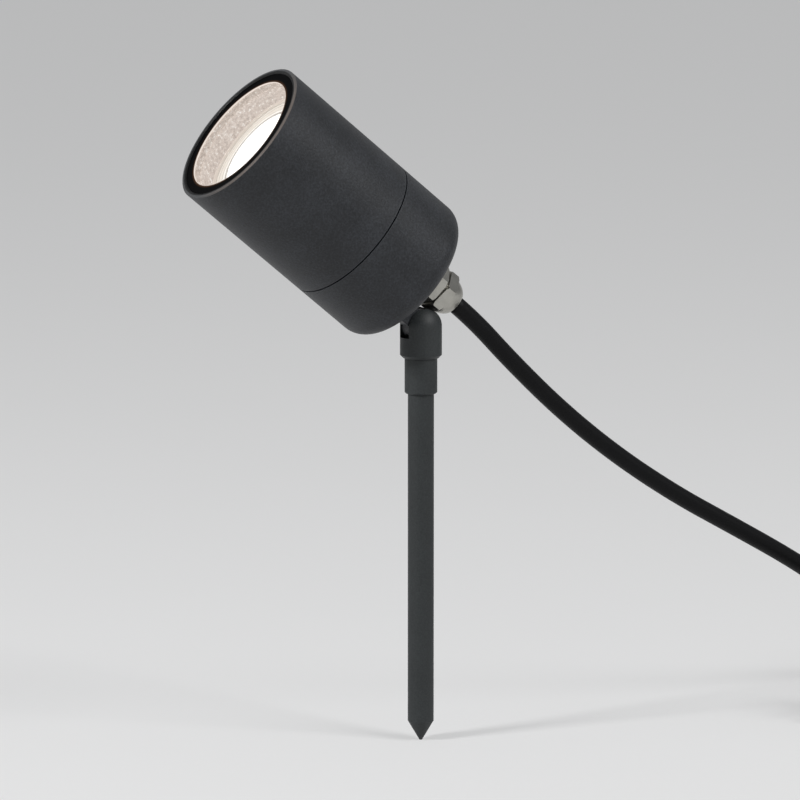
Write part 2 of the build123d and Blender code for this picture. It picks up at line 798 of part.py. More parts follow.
with BuildPart() as gland_nut:
    add(nut_hexagon)
    with BuildSketch(gland_section):
        with BuildLine():
            Line((0, nut_back - 0.5), (gland_across_flats / 2 - 0.2, nut_back - 0.5))
            ThreePointArc(
                (gland_across_flats / 2 - 0.2, nut_back - 0.5),
                (gland_across_flats / 2 - 0.9, nut_back + gland_nose_length * 0.55),
                (gland_nose_radius, nose_back),
            )
            Polyline((gland_nose_radius, nose_back), (0, nose_back), (0, nut_back - 0.5))
        make_face()
    revolve(axis=gland_axis)
    with BuildSketch(across(nut_front, gland_line)):
        Circle(gland_thread_radius)
    extrude(amount=nut_front - nut_back, mode=Mode.SUBTRACT)
    with BuildSketch(across(nut_front, gland_line)):
        Circle(sheath_bore)
    extrude(amount=nut_front - nose_back, mode=Mode.SUBTRACT)
write(gland_nut.part, "gland_nut")

with BuildPart() as cable_entry:
    with BuildSketch(across(sheath_end, gland_line)):
        Circle(cable_radius)
    extrude(amount=sheath_end - nose_back)
write(cable_entry.part, "cable_entry")

# ---------------------------------------------------------------- cable from the gland to the coil
mouth = gland_line - forward * nose_back
coil_start = (coil_left_x, coil_centre_y - straight_end, cable_floor_z)
cable_route = [
    tuple(mouth),
    tuple(mouth - forward * 12),
    (0, 38.0, 10.6),
    (0, 60.4, -10.6),
    (0, 85.2, -30.2),
    (0, 112.0, -47.8),
    (0, 137.0, -61.7),
    (-0.5, 162.0, -75.8),
    (-4.5, 181.0, -87.4),
    (-12.0, 197.0, -99.8),
    (-20.3, 211.0, -112.2),
    (-25.3, 224.5, -123.4),
    (coil_left_x, coil_start[1] - coil_lead_in, cable_floor_z + 0.5),
    coil_start,
]


def cord(name, route):
    """Sheathed cable along straight runs joined by arcs as large as the runs allow."""
    radii = bend_radii(route)
    path = FilletPolyline(*route, radius=radii)
    with BuildPart() as length_of_cable:
        with BuildLine():
            add(path)
        with BuildSketch(Plane(origin=route[0], z_dir=Vector(*route[1]) - Vector(*route[0]))):
            Circle(cable_radius)
        sweep()
    write(length_of_cable.part, name)
    expected = pi * cable_radius**2 * path.length
    print(name, "length", round(path.length, 1), "arc radii", [round(radius, 1) for radius in radii])
    print(name, "volume over section times length", round(length_of_cable.part.volume / expected, 5))
    return path.length


run_length = cord("cable_run", cable_route)

# ---------------------------------------------------------------- coil of two layers and a half turn more
layer_two_z = cable_floor_z + coil_pitch
coil_rises = [0, 0, 0, 0, coil_pitch, 0, 0, *coil_last_rises]  # of each half turn
coil_radii = [coil_outer_radius - step * coil_pitch / 2 for step in coil_steps_in]
coil_radii.append((plug_x - coil_left_x) / 2)


def coil_arcs():
    """Half circles as (start, middle, end), one side and the other: in, up, out, and over."""
    arcs = []
    x = coil_left_x
    z = cable_floor_z
    side = 1
    for radius, climb in zip(coil_radii, coil_rises):
        middle_reach = dist((0, 0), (radius, climb / 2))
        start = (x, coil_centre_y, z)
        middle = (x + side * radius, coil_centre_y + side * middle_reach, z + climb / 2)
        end = (x + side * 2 * radius, coil_centre_y, z + climb)
        arcs.append((start, middle, end))
        x = end[0]
        z = end[2]
        side = -side
    return arcs


coil_end = coil_arcs()[-1][2]
tail_start = (coil_end[0], coil_end[1] - straight_end, coil_end[2])
with BuildPart() as cable_coil:
    with BuildLine() as coil_line:
        Line(coil_start, coil_arcs()[0][0])
        for half_turn in coil_arcs():
            ThreePointArc(*half_turn)
        Line(coil_end, tail_start)
    with BuildSketch(Plane(origin=coil_start, z_dir=(0, 1, 0))):
        Circle(cable_radius)
    sweep()
write(cable_coil.part, "cable_coil")

coil_path = coil_line.wire()
coil_length = coil_path.length
samples = ceil(coil_length / 3)
points = [coil_path.position_at(step / samples) for step in range(samples + 1)]
apart = ceil(8 * cable_radius / 3)
least = min(
    (points[first] - points[second]).length
    for first in range(samples + 1)
    for second in range(first + apart, samples + 1)
)
print("cable_coil length", round(coil_length, 1), "turns", len(coil_radii) / 2)
print("cable_coil least gap to itself", round(least - 2 * cable_radius, 2))
coil_volume = pi * cable_radius**2 * coil_length
print("cable_coil volume over section times length", round(cable_coil.part.volume / coil_volume, 5))

# ---------------------------------------------------------------- tie round the coil's near side
# It goes round the four strands of the near side, where the highest has risen by part of its climb.
tie_x = coil_left_x + coil_outer_radius
near_side_radii = coil_radii[1::2]  # the turns run on the near side in every other half
strand_near = near_side_radii[3]
strand_far = near_side_radii[1] - coil_pitch / 8
highest_rise = coil_last_rises[0] / 2
tie_inner_depth = strand_near - strand_far + 2 * (cable_radius + sliding_gap)
tie_inner_height = coil_pitch + highest_rise + 2 * (cable_radius + sliding_gap)
tie_reach = (strand_near + strand_far) / 2
tie_centre = (tie_x, coil_centre_y - tie_reach, cable_floor_z + (coil_pitch + highest_rise) / 2)
tie_plane = Plane(origin=tie_centre, x_dir=(0, 1, 0), z_dir=(1, 0, 0))
with BuildPart() as cable_tie:
    with BuildSketch(tie_plane.offset(-tie_width / 2)):
        RectangleRounded(
            tie_inner_depth + 2 * tie_thickness, tie_inner_height + 2 * tie_thickness, cable_radius
        )
        RectangleRounded(
            tie_inner_depth, tie_inner_height, cable_radius - tie_thickness, mode=Mode.SUBTRACT
        )
    extrude(amount=tie_width)
    with BuildSketch(Plane(origin=tie_centre).offset(tie_inner_height / 2 + tie_thickness / 2)):
        Rectangle(tie_head * 0.8, tie_head)
    extrude(amount=tie_thickness / 2 + 3.2)
write(cable_tie.part, "cable_tie")

# ---------------------------------------------------------------- tail and plug
plug_z = floor_z + plug_radius
tail_route = [
    tail_start,
    (plug_x, plug_start_y + tail_dip, tail_start[2] - 0.2),
    (plug_x, plug_start_y + 3.0, plug_z + 0.1),
    (plug_x, plug_start_y - relief_bore_depth, plug_z),
]
tail_length = cord("cable_tail", tail_route)
print("whole cable", round(run_length + coil_length + tail_length, 1))

# The plug lies on its side: its axis runs along -Y from the cable to the pins.
plug_section = Plane(origin=(plug_x, plug_start_y, plug_z), x_dir=(1, 0, 0), z_dir=(0, 0, -1))
plug_axis = Axis((plug_x, plug_start_y, plug_z), (0, -1, 0))
plug_face = relief_length + plug_body_length
with BuildPart() as plug_body:
    with BuildSketch(plug_section):
        with BuildLine():
            Polyline(
                (0, relief_bore_depth),
                (cable_radius + relief_bore_gap, relief_bore_depth),
                (cable_radius + relief_bore_gap, 0),
                (relief_radius, 0),
                (plug_neck_radius, relief_length),
                (plug_neck_radius + 3, relief_length + 4),
                (plug_neck_radius + 4.5, plug_face - plug_flange - 3),
                (plug_radius - 2, plug_face - plug_flange - 1),
                (plug_radius, plug_face - plug_flange + 1),
                (plug_radius, plug_face),
                (0, plug_face),
                close=True,
            )
        make_face()
    revolve(axis=plug_axis)
    # Flats on the flange's two sides, and a groove for each earth contact
    face_plane = Plane(origin=(plug_x, plug_start_y - plug_face, plug_z), x_dir=(1, 0, 0), z_dir=(0, 1, 0))
    with BuildSketch(face_plane):
        with Locations((plug_half_width + plug_radius, 0), (-plug_half_width - plug_radius, 0)):
            Rectangle(2 * plug_radius, 2 * plug_radius)
        with Locations((plug_half_width, 0), (-plug_half_width, 0)):
            Rectangle(2 * (contact_recess + contact_thickness), contact_width + 2)
    extrude(amount=plug_flange + 6, mode=Mode.SUBTRACT)
write(plug_body.part, "plug_body")

pin_plane = Plane(origin=(plug_x, plug_start_y - plug_face, plug_z), x_dir=(1, 0, 0), z_dir=(0, -1, 0))
with BuildPart() as plug_pins:
    with BuildSketch(pin_plane):
        with GridLocations(0, plug_pin_spacing, 1, 2):
            Circle(plug_pin_radius)
    extrude(amount=plug_pin_length)
    fillet(plug_pins.faces().filter_by(Axis.Y).sort_by(Axis.Y)[:2].edges(), 1.0)
write(plug_pins.part, "plug_pins")

with BuildPart() as plug_contacts:
    with BuildSketch(pin_plane):
        contact_reach = plug_half_width - contact_recess - contact_thickness / 2
        with Locations((contact_reach, 0), (-contact_reach, 0)):
            Rectangle(contact_thickness, contact_width)
    extrude(amount=-plug_flange)
write(plug_contacts.part, "plug_contacts")
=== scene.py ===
"""Garden spike spotlight: finishes, lit lamp, cable and plug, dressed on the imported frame.

Metres, +Z up, the head faces -Y. Surfaces are worked out with numpy as grids, as profiles turned
round an axis, or as sections carried along a path.
"""

import json
from math import atan2, cos, pi, radians, sin

import bmesh
import bpy
import numpy as np
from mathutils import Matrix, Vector


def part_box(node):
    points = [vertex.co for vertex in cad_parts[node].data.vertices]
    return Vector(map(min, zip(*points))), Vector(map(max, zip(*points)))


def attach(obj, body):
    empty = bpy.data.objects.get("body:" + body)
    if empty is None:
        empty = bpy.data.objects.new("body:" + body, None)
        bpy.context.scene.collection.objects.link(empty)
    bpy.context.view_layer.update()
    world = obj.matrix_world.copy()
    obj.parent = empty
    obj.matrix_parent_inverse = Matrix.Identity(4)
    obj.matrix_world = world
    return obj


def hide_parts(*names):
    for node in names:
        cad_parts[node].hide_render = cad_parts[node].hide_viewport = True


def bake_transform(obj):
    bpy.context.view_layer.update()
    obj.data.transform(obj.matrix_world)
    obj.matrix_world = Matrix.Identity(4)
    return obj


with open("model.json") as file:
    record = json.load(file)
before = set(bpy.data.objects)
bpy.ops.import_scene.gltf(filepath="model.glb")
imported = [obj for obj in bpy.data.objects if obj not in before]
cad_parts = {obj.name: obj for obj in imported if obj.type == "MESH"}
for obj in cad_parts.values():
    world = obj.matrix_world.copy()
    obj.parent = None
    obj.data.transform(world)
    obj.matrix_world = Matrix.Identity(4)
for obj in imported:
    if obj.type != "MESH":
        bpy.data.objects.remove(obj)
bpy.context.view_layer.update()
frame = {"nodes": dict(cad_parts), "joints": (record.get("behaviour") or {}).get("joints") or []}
nodes = frame["nodes"]
joints = {joint["name"]: joint for joint in frame["joints"]}
MM = 0.001

# ---------------------------------------------------------------- places taken from the frame
HEAD_AXIS = np.array(joints["lamp_twist"]["axis"], float)
HEAD_AXIS /= np.linalg.norm(HEAD_AXIS)
HEAD_TURN = atan2(-HEAD_AXIS[1], HEAD_AXIS[2])  # turns the head's axis onto +Z
ACROSS = np.array([1.0, 0.0, 0.0])
ON_AXIS = np.array(joints["lamp_twist"]["pos_m"], float)


def vertices(name):
    """All vertices of a frame node as rows of x, y, z."""
    data = nodes[name].data
    flat = np.empty(3 * len(data.vertices))
    data.vertices.foreach_get("co", flat)
    return flat.reshape(-1, 3)


def reach(name):
    """Lowest and highest distance of a node's points along the head's axis, from ON_AXIS."""
    along = (vertices(name) - ON_AXIS) @ HEAD_AXIS
    return along.min(), along.max()


FRONT_REACH = reach("front_housing")[1]
FRONT = ON_AXIS + HEAD_AXIS * FRONT_REACH
FLOOR_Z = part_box("spike_rod")[0].z


def depth_of(name):
    """Nearest and farthest depth of a node behind the front rim."""
    low, high = reach(name)
    return FRONT_REACH - high, FRONT_REACH - low


def lens_edge():
    """Radius of the lamp's lens from the head's axis."""
    off = vertices("lamp_lens") - ON_AXIS
    off = off - np.outer(off @ HEAD_AXIS, HEAD_AXIS)
    return np.linalg.norm(off, axis=1).max()


# ---------------------------------------------------------------- camera, as the photograph has it
CAMERA_AZIMUTH = 63.723
CAMERA_ELEVATION = 8.628
CAMERA_PLACE = (1.68735, -0.84200, 0.28345)
LENS = 225.0
SENSOR = 36.0
CLIP_NEAR, CLIP_FAR = 0.05, 50.0


def make_camera():
    """Long lens, no roll and no shift, looking along the photograph's line of sight."""
    turn, lift = radians(CAMERA_AZIMUTH), radians(CAMERA_ELEVATION)
    back = Vector((sin(turn) * cos(lift), -cos(turn) * cos(lift), sin(lift)))
    data = bpy.data.cameras.new("camera")
    data.lens = LENS
    data.sensor_width = SENSOR
    data.clip_start, data.clip_end = CLIP_NEAR, CLIP_FAR
    camera = bpy.data.objects.new("camera", data)
    camera.location = CAMERA_PLACE
    camera.rotation_mode = "QUATERNION"
    camera.rotation_quaternion = (-back).to_track_quat("-Z", "Y")
    bpy.context.scene.collection.objects.link(camera)
    bpy.context.scene.camera = camera


# ---------------------------------------------------------------- meshes from arrays
def mesh_object(name, points, faces):
    """New smooth object at the origin from arrays of points and of equal-sided faces."""
    mesh = bpy.data.meshes.new(name)
    sides = faces.shape[1]
    mesh.vertices.add(len(points))
    mesh.vertices.foreach_set("co", np.ascontiguousarray(points, np.float32).ravel())
    mesh.loops.add(faces.size)
    mesh.loops.foreach_set("vertex_index", np.ascontiguousarray(faces, np.int32).ravel())
    mesh.polygons.add(len(faces))
    mesh.polygons.foreach_set("loop_start", np.arange(0, faces.size, sides, dtype=np.int32))
    mesh.polygons.foreach_set("use_smooth", np.full(len(faces), True))
    mesh.update(calc_edges=True)
    mesh.validate()
    piece = bpy.data.objects.new(name, mesh)
    bpy.context.scene.collection.objects.link(piece)
    return piece


def grid_faces(rows, columns, wrap_rows=False):
    """Quads of a rows by columns grid whose columns wrap round, and whose rows may."""
    row = np.arange(rows if wrap_rows else rows - 1)[:, None]
    column = np.arange(columns)[None, :]
    after_row = (row + 1) % rows
    after_column = (column + 1) % columns
    quads = np.stack(
        [
            row * columns + column,
            row * columns + after_column,
            after_row * columns + after_column,
            after_row * columns + column,
        ],
        axis=-1,
    )
    return quads.reshape(-1, 4)


def turned(name, profile, centre, axis, side, segments=160):
    """Profile of (radius, distance) rows turned round an axis, closed on itself.

    Point(i, t) = centre + axis * distance_i + radius_i * (cos t * side + sin t * other side).
    """
    profile = np.asarray(profile, float)
    other = np.cross(axis, side)
    angle = np.linspace(0, 2 * pi, segments, endpoint=False)
    round_about = np.cos(angle)[:, None] * side + np.sin(angle)[:, None] * other
    points = (
        np.asarray(centre)
        + profile[:, 1][:, None, None] * axis
        + profile[:, 0][:, None, None] * round_about[None]
    )
    return mesh_object(name, points.reshape(-1, 3), grid_faces(len(profile), segments, True))


def tube(name, path, radius, sides):
    """Round section carried along a path without twist, closed with a flat face at each end.

    The section's first direction is carried from point to point by taking out what lies along
    the new tangent, so the rings never spin about the line.
    """
    path = np.asarray(path, float)
    tangent = np.gradient(path, axis=0)
    tangent /= np.linalg.norm(tangent, axis=1)[:, None]
    first = np.empty_like(path)
    guess = np.cross(tangent[0], [0.0, 0.0, 1.0])
    for index in range(len(path)):
        guess = guess - tangent[index] * (guess @ tangent[index])
        guess /= np.linalg.norm(guess)
        first[index] = guess
    second = np.cross(tangent, first)
    angle = np.linspace(0, 2 * pi, sides, endpoint=False)[None, :, None]
    spokes = np.cos(angle) * first[:, None] + np.sin(angle) * second[:, None]
    points = (path[:, None] + radius * spokes).reshape(-1, 3)
    piece = mesh_object(name, points, grid_faces(len(path), sides))
    close_ends(piece)
    return piece


def close_ends(piece):
    """Fills the open rims of a mesh and turns all its faces outwards."""
    work = bmesh.new()
    work.from_mesh(piece.data)
    rims = [edge for edge in work.edges if edge.is_boundary]
    if rims:
        bmesh.ops.holes_fill(work, edges=rims, sides=0)
    bmesh.ops.recalc_face_normals(work, faces=work.faces)
    work.to_mesh(piece.data)
    work.free()
    piece.data.update()


# ---------------------------------------------------------------- cable: facts and route
CABLE_DIAMETER = 7.0 * MM
CABLE_RADIUS = CABLE_DIAMETER / 2
CABLE_Z = -0.1302
CABLE_SIDES = 20
STEPS_PER_POINT = 8
COIL_LEFT_X = -0.0265
COIL_Y = 0.2615
COIL_RADII = [r * MM for r in (43.0, 39.2, 35.4, 31.6, 27.8, 31.6, 35.4, 39.2, 36.25)]
COIL_CLIMBS = [r * MM for r in (0.0, 0.0, 0.0, 0.0, 7.6, 0.0, 0.0, 5.5, 3.5)]
POINTS_PER_HALF_TURN = 8
STRAIGHT_END = 7.0 * MM
PLUG_X = 0.046
PLUG_START_Y = 0.2305
PLUG_Z = -0.116
GLAND_MOUTH = (0.0, 0.01347, 0.03427)
CABLE_RUN = [
    GLAND_MOUTH,
    (0.0, 0.02273, 0.02664),
    (0.0, 0.0380, 0.0106),
    (0.0, 0.0604, -0.0106),
    (0.0, 0.0852, -0.0302),
    (0.0, 0.1120, -0.0478),
    (0.0, 0.1370, -0.0617),
    (-0.0005, 0.1620, -0.0758),
    (-0.0045, 0.1810, -0.0874),
    (-0.0120, 0.1970, -0.0998),
    (-0.0203, 0.2110, -0.1122),
    (-0.0253, 0.2245, -0.1234),
    (COIL_LEFT_X, 0.2390, -0.1297),
    (COIL_LEFT_X, COIL_Y - STRAIGHT_END, CABLE_Z),
]


def coil_points():
    """Control points of the coil, and the height at which it ends.

    They are half turns that wind in, climb, wind out and cross over: the corners of a polygon
    drawn round each half circle, since the spline touches the middle of each of its sides.
    Along a half turn the height grows with the distance gone across:
    z = start + climb * (radius - corner * cos angle) / (2 * radius).
    """
    step = pi / POINTS_PER_HALF_TURN
    angle = (np.arange(POINTS_PER_HALF_TURN) + 0.5) * step
    points = []
    x, z, side = COIL_LEFT_X, CABLE_Z, 1
    for radius, climb in zip(COIL_RADII, COIL_CLIMBS, strict=True):
        corner = radius / cos(step / 2)
        gone = radius - corner * np.cos(angle)
        ring = np.empty((POINTS_PER_HALF_TURN, 3))
        ring[:, 0] = x + side * gone
        ring[:, 1] = COIL_Y + side * corner * np.sin(angle)
        ring[:, 2] = z + climb * gone / (2 * radius)
        points.extend(map(tuple, ring))
        x += side * 2 * radius
        z += climb
        side = -side
    return points, z


COIL, COIL_TOP_Z = coil_points()
CABLE_TAIL = [
    (PLUG_X, COIL_Y - STRAIGHT_END, COIL_TOP_Z),
    (PLUG_X, PLUG_START_Y + 0.0125, COIL_TOP_Z - 0.0002),
    (PLUG_X, PLUG_START_Y + 0.0030, PLUG_Z + 0.0001),
    (PLUG_X, PLUG_START_Y - 0.0060, PLUG_Z),
]


def smooth_line(points, resolution):
    """Points along the quadratic NURBS spline whose control points are given."""
    curve = bpy.data.curves.new("route", "CURVE")
    curve.dimensions = "3D"
    spline = curve.splines.new("NURBS")
    spline.points.add(len(points) - 1)
    homogeneous = np.column_stack([np.array(points, float), np.ones(len(points))])
    spline.points.foreach_set("co", homogeneous.ravel())
    spline.use_endpoint_u = True
    spline.order_u = 3
    spline.resolution_u = resolution
    holder = bpy.data.objects.new("route", curve)
    bpy.context.scene.collection.objects.link(holder)
    line = bpy.data.meshes.new_from_object(holder)
    flat = np.empty(3 * len(line.vertices))
    line.vertices.foreach_get("co", flat)
    bpy.data.objects.remove(holder)
    bpy.data.meshes.remove(line)
    return flat.reshape(-1, 3)


def make_cable(plug):
    """The whole cable in one piece, from the gland's mouth through the coil to the plug."""
    path = smooth_line(CABLE_RUN + COIL + CABLE_TAIL, STEPS_PER_POINT)
    cable = tube("cable", path, CABLE_RADIUS, CABLE_SIDES)
    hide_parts("cable_run", "cable_coil", "cable_tail")
    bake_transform(cable)


# ---------------------------------------------------------------- plug
# Rows of radius and distance from the relief's end, in millimetres, as are the sizes below
PLUG_BORE = np.array([(3.65, 6.0), (3.65, 0.0)])
PLUG_PROFILE = np.array(
    [
        (4.7, 0.0), (5.0, 0.4), (5.9, 6.0), (7.2, 14.0), (8.5, 21.5), (10.6, 24.0),
        (11.6, 27.0), (12.2, 32.0), (12.9, 40.0), (13.4, 45.0), (15.0, 48.0), (18.0, 49.6),
        (18.8, 50.4), (19.0, 51.2), (19.0, 59.2), (18.6, 59.8), (18.0, 60.0),
    ]
)
PLUG_STEPS = np.concatenate([np.arange(0, 47, 0.5), np.arange(47, 60.01, 0.25)])
PLUG_SIDES = 144
GRIP_FROM, GRIP_TO, GRIP_FADE = 26, 46, 3
RIB_HEIGHT, RIB_WAVES = 0.3, 12
RELIEF_FROM, RELIEF_TO = 2, 20
RELIEF_RING_WIDTH, RELIEF_RING_DEPTH = 1.5, 0.35
RELIEF_RING_EDGE = 0.2  # of the sine wave that sets the rings
PLUG_FLAT = 16.8


def make_plug():
    """Moulded plug on its side, with grip ribs, relief rings and two flats for the earth contacts.

    Radius(angle, distance) is the profile's, read at PLUG_STEPS. Along the grip it grows by
    RIB_HEIGHT times a squared sine in the angle. Along the relief it sinks by RELIEF_RING_DEPTH
    in a row of rings. It is cut to PLUG_FLAT / |cos angle| for the flats.
    """
    distance = PLUG_STEPS
    radius = np.interp(distance, PLUG_PROFILE[:, 1], PLUG_PROFILE[:, 0])
    angle = np.linspace(0, 2 * pi, PLUG_SIDES, endpoint=False)
    grip = np.clip((distance - GRIP_FROM) / GRIP_FADE, 0, 1)
    grip *= np.clip((GRIP_TO - distance) / GRIP_FADE, 0, 1)
    ribs = RIB_HEIGHT * grip[:, None] * np.sin(RIB_WAVES * angle)[None] ** 2
    relief = (distance > RELIEF_FROM) & (distance < RELIEF_TO)
    wave = np.sin(distance * pi / RELIEF_RING_WIDTH)
    rings = RELIEF_RING_DEPTH * relief * (wave > RELIEF_RING_EDGE)
    outer = (radius - rings)[:, None] + ribs
    outer = np.minimum(outer, PLUG_FLAT / np.maximum(np.abs(np.cos(angle)), 1e-6)[None])
    bore = np.repeat(PLUG_BORE[:, :1], PLUG_SIDES, axis=1)
    rows = np.concatenate([bore, outer]) * MM
    along = np.concatenate([PLUG_BORE[:, 1], distance]) * MM
    points = np.stack(
        [
            PLUG_X + rows * np.cos(angle)[None],
            np.repeat((PLUG_START_Y - along)[:, None], PLUG_SIDES, axis=1),
            PLUG_Z + rows * np.sin(angle)[None],
        ],
        axis=-1,
    )
    piece = mesh_object("plug", points.reshape(-1, 3), grid_faces(len(rows), PLUG_SIDES))
    close_ends(piece)
    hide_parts("plug_body")
    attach(piece, "knuckle")
    return piece


make_camera()
make_cable(make_plug())

# ---------------------------------------------------------------- lamp face
FACE_PINHOLE = 0.0005  # share of the face's radius; the hole left there is filled flat
FACE_ROWS = 220
FACE_SET_BACK = 0.3 * MM
FACE_CURVE = 0.4 * MM
FACE_RIM_DEPTH = 1.0 * MM
FACE_BACK_GAP = 0.2 * MM
CLEAR_MIDDLE = 0.42  # share of the face's radius without steps
STEP_WIDTH = 1.1 * MM
STEP_DEPTH = 0.25 * MM


def make_lamp_face():
    """Face glass of the lamp: a shallow dome with concentric steps, closed behind.

    Depth(radius) = nearest depth of the CAD's lens + FACE_SET_BACK
    + FACE_CURVE * (radius / edge)^2 + STEP_DEPTH * saw tooth, one tooth every STEP_WIDTH outside
    the clear middle. The last three rows fall to FACE_RIM_DEPTH, the rim.
    """
    near, far = depth_of("lamp_lens")
    edge = lens_edge()
    radius = np.linspace(FACE_PINHOLE, 1.0, FACE_ROWS) * edge
    saw = np.where(radius > CLEAR_MIDDLE * edge, (radius / STEP_WIDTH) % 1.0, 0.0)
    front = near + FACE_SET_BACK + STEP_DEPTH * saw + FACE_CURVE * (radius / edge) ** 2
    front[-3:] = near + FACE_RIM_DEPTH
    back = -far + FACE_BACK_GAP
    profile = np.concatenate(
        [np.stack([radius, -front], axis=1), [[edge, back], [edge * FACE_PINHOLE, back]]]
    )
    piece = turned("lamp_face", profile, FRONT, HEAD_AXIS, ACROSS)
    close_ends(piece)
    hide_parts("lamp_lens")
    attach(piece, "lamp")


make_lamp_face()


# ---------------------------------------------------------------- finishes: helpers
def finish(name, **constants):
    """Material whose shader's constants are set on its own sockets."""
    material = bpy.data.materials.new(name)
    material.use_nodes = True
    shader = material.node_tree.nodes["Principled BSDF"]
    for socket, value in constants.items():
        shader.inputs[socket.replace("_", " ")].default_value = value
    return material


def node(material, kind, inputs=(), **settings):
    """New node with its settings and its inputs' values, or links where a socket is given."""
    made = material.node_tree.nodes.new("ShaderNode" + kind)
    for setting, value in settings.items():
        setattr(made, setting, value)
    for key, value in dict(inputs).items():
        if isinstance(value, bpy.types.NodeSocket):
            material.node_tree.links.new(value, made.inputs[key])
        else:
            made.inputs[key].default_value = value
    return made


def shade(material, socket, source):
    """Links a varying value to the shader."""
    shader = material.node_tree.nodes["Principled BSDF"]
    material.node_tree.links.new(source, shader.inputs[socket])


def place(material):
    """Object coordinates, which are the frame's metres at rest."""
    return node(material, "TexCoord").outputs["Object"]


def ramp(material, source, stops):
    """Colour ramp of (position, colour) stops."""
    made = node(material, "ValToRGB", {"Fac": source})
    marks = made.color_ramp.elements
    while len(marks) < len(stops):
        marks.new(0.5)
    for mark, (position, colour) in zip(marks, stops, strict=True):
        mark.position = position
        mark.color = (*colour, 1.0)
    return made.outputs["Color"]


def noise(material, where, size, detail=2.0, rough=0.5):
    """Noise whose blotches are about the given size in metres."""
    inputs = {"Vector": where, "Scale": 1 / size, "Detail": detail, "Roughness": rough}
    return node(material, "TexNoise", inputs).outputs["Fac"]


def bumped(material, height, depth):
    """Bump of the given depth in metres from a height between 0 and 1."""
    made = node(material, "Bump", {"Height": height, "Distance": depth, "Strength": 1.0})
    shade(material, "Normal", made.outputs["Normal"])


def tint(colour, factor):
    """Colour made lighter or darker by a factor."""
    return tuple(min(1.0, channel * factor) for channel in colour)


def share(material, value, low, high):
    """0 at low, 1 at high, and the share between them in between; low may be the larger one."""
    made = node(material, "MapRange", {"Value": value, "From Min": low, "From Max": high})
    return made.outputs["Result"]


def spread_to(material, value, low, high):
    """A value of 0 to 1 spread to the range from low to high."""
    made = node(material, "MapRange", {"Value": value, "To Min": low, "To Max": high})
    return made.outputs["Result"]


def maths(material, operation, first, second=0.5):
    """Result of one math node."""
    return node(material, "Math", {0: first, 1: second}, operation=operation).outputs["Value"]


def times(material, first, second):
    """Product of two values."""
    return maths(material, "MULTIPLY", first, second)


def off_from(material, value, middle):
    """How far a value is from a middle one, either way."""
    return maths(material, "ABSOLUTE", maths(material, "SUBTRACT", value, middle))


def both_of(material, first, second, factor):
    """Two values mixed by a factor."""
    return node(material, "Mix", {"Factor": factor, "A": first, "B": second}).outputs["Result"]


def mixed(material, factor, first, second):
    """Colour that goes from the first to the second with the factor."""
    made = node(material, "Mix", {"Factor": factor}, data_type="RGBA")
    sockets = [socket for socket in made.inputs if socket.type == "RGBA"]
    for socket, colour in zip(sockets, (first, second), strict=True):
        if isinstance(colour, bpy.types.NodeSocket):
            material.node_tree.links.new(colour, socket)
        else:
            socket.default_value = (*colour, 1.0)
    return [out for out in made.outputs if out.type == "RGBA"][0]


def head_place(material):
    """Place turned so that Z runs out of the lamp along the head's axis from the front rim."""
    cosine, sine = cos(-HEAD_TURN), sin(-HEAD_TURN)
    y = FRONT[1] * cosine - FRONT[2] * sine
    z = FRONT[1] * sine + FRONT[2] * cosine
    inputs = {
        "Vector": place(material),
        "Rotation": (-HEAD_TURN, 0, 0),
        "Location": (-FRONT[0], -y, -z),
    }
    return node(material, "Mapping", inputs).outputs["Vector"]


def head_radius_and_depth(material):
    """Radius from the head's axis and depth behind the front rim, in metres."""
    where = head_place(material)
    flat = node(material, "VectorMath", {0: where, 1: (1, 1, 0)}, operation="MULTIPLY")
    length = node(material, "VectorMath", {0: flat.outputs["Vector"]}, operation="LENGTH")
    parts = node(material, "SeparateXYZ", {"Vector": where})
    return length.outputs["Value"], times(material, parts.outputs["Z"], -1.0)


# ---------------------------------------------------------------- finishes: one function a kind
SHELL = (0.0240, 0.0260, 0.0300)
POST = (0.024, 0.028, 0.029)
RUBBER = (0.012, 0.012, 0.012)
DARK = (0.0, 0.0, 0.0)
LIT = {"Emission_Strength": 1.0}

# Zones of the head where light and shade are painted: painted highlights on the seam's edges and
# the lip, painted shade in the recess, painted lamp light in the bore, on the ring and behind the
# lamp's rim. Each gives where it begins and where it is full, by radius from the head's axis, by
# depth behind the front rim, or by X.
SEAM_DEPTH = depth_of("front_housing")[1] + 0.3 * MM
# painted highlight on the seam's edges: distances off the seam where it fades out and where it is
# full
SEAM_HIGHLIGHT = (0.7 * MM, 0.45 * MM)
RECESS_RADIUS = (29.0 * MM, 28.8 * MM)
RECESS_DEPTH = (6.0 * MM, 5.0 * MM)
LIP_RADIUS = (28.8 * MM, 29.0 * MM)
LIP_DEPTH = (0.5 * MM, 0.3 * MM)
LIP_LIT_X = (6 * MM, 26 * MM)
BORE_RADIUS = (27.6 * MM, 27.4 * MM)
BORE_FRONT = (1.2 * MM, 1.4 * MM)
BORE_BACK = (26 * MM, 18 * MM)
RING_FRINGE = (25.0 * MM, 24.2 * MM)
RING_WALL = (24.12 * MM, 24.02 * MM)
LAMP_RIM_LIT = (1.6 * MM, 0.5 * MM)  # behind the reflector's own rim

# Rings of the lamp's glow, as shares of the face's radius but for the pitch
GLOW_RING_PITCH = 2.0 * MM
GLOW_WHITE = (0.86, 0.72)
GLOW_LINE_AT = 0.77
GLOW_LINE_WIDTH = (0.034, 0.014)


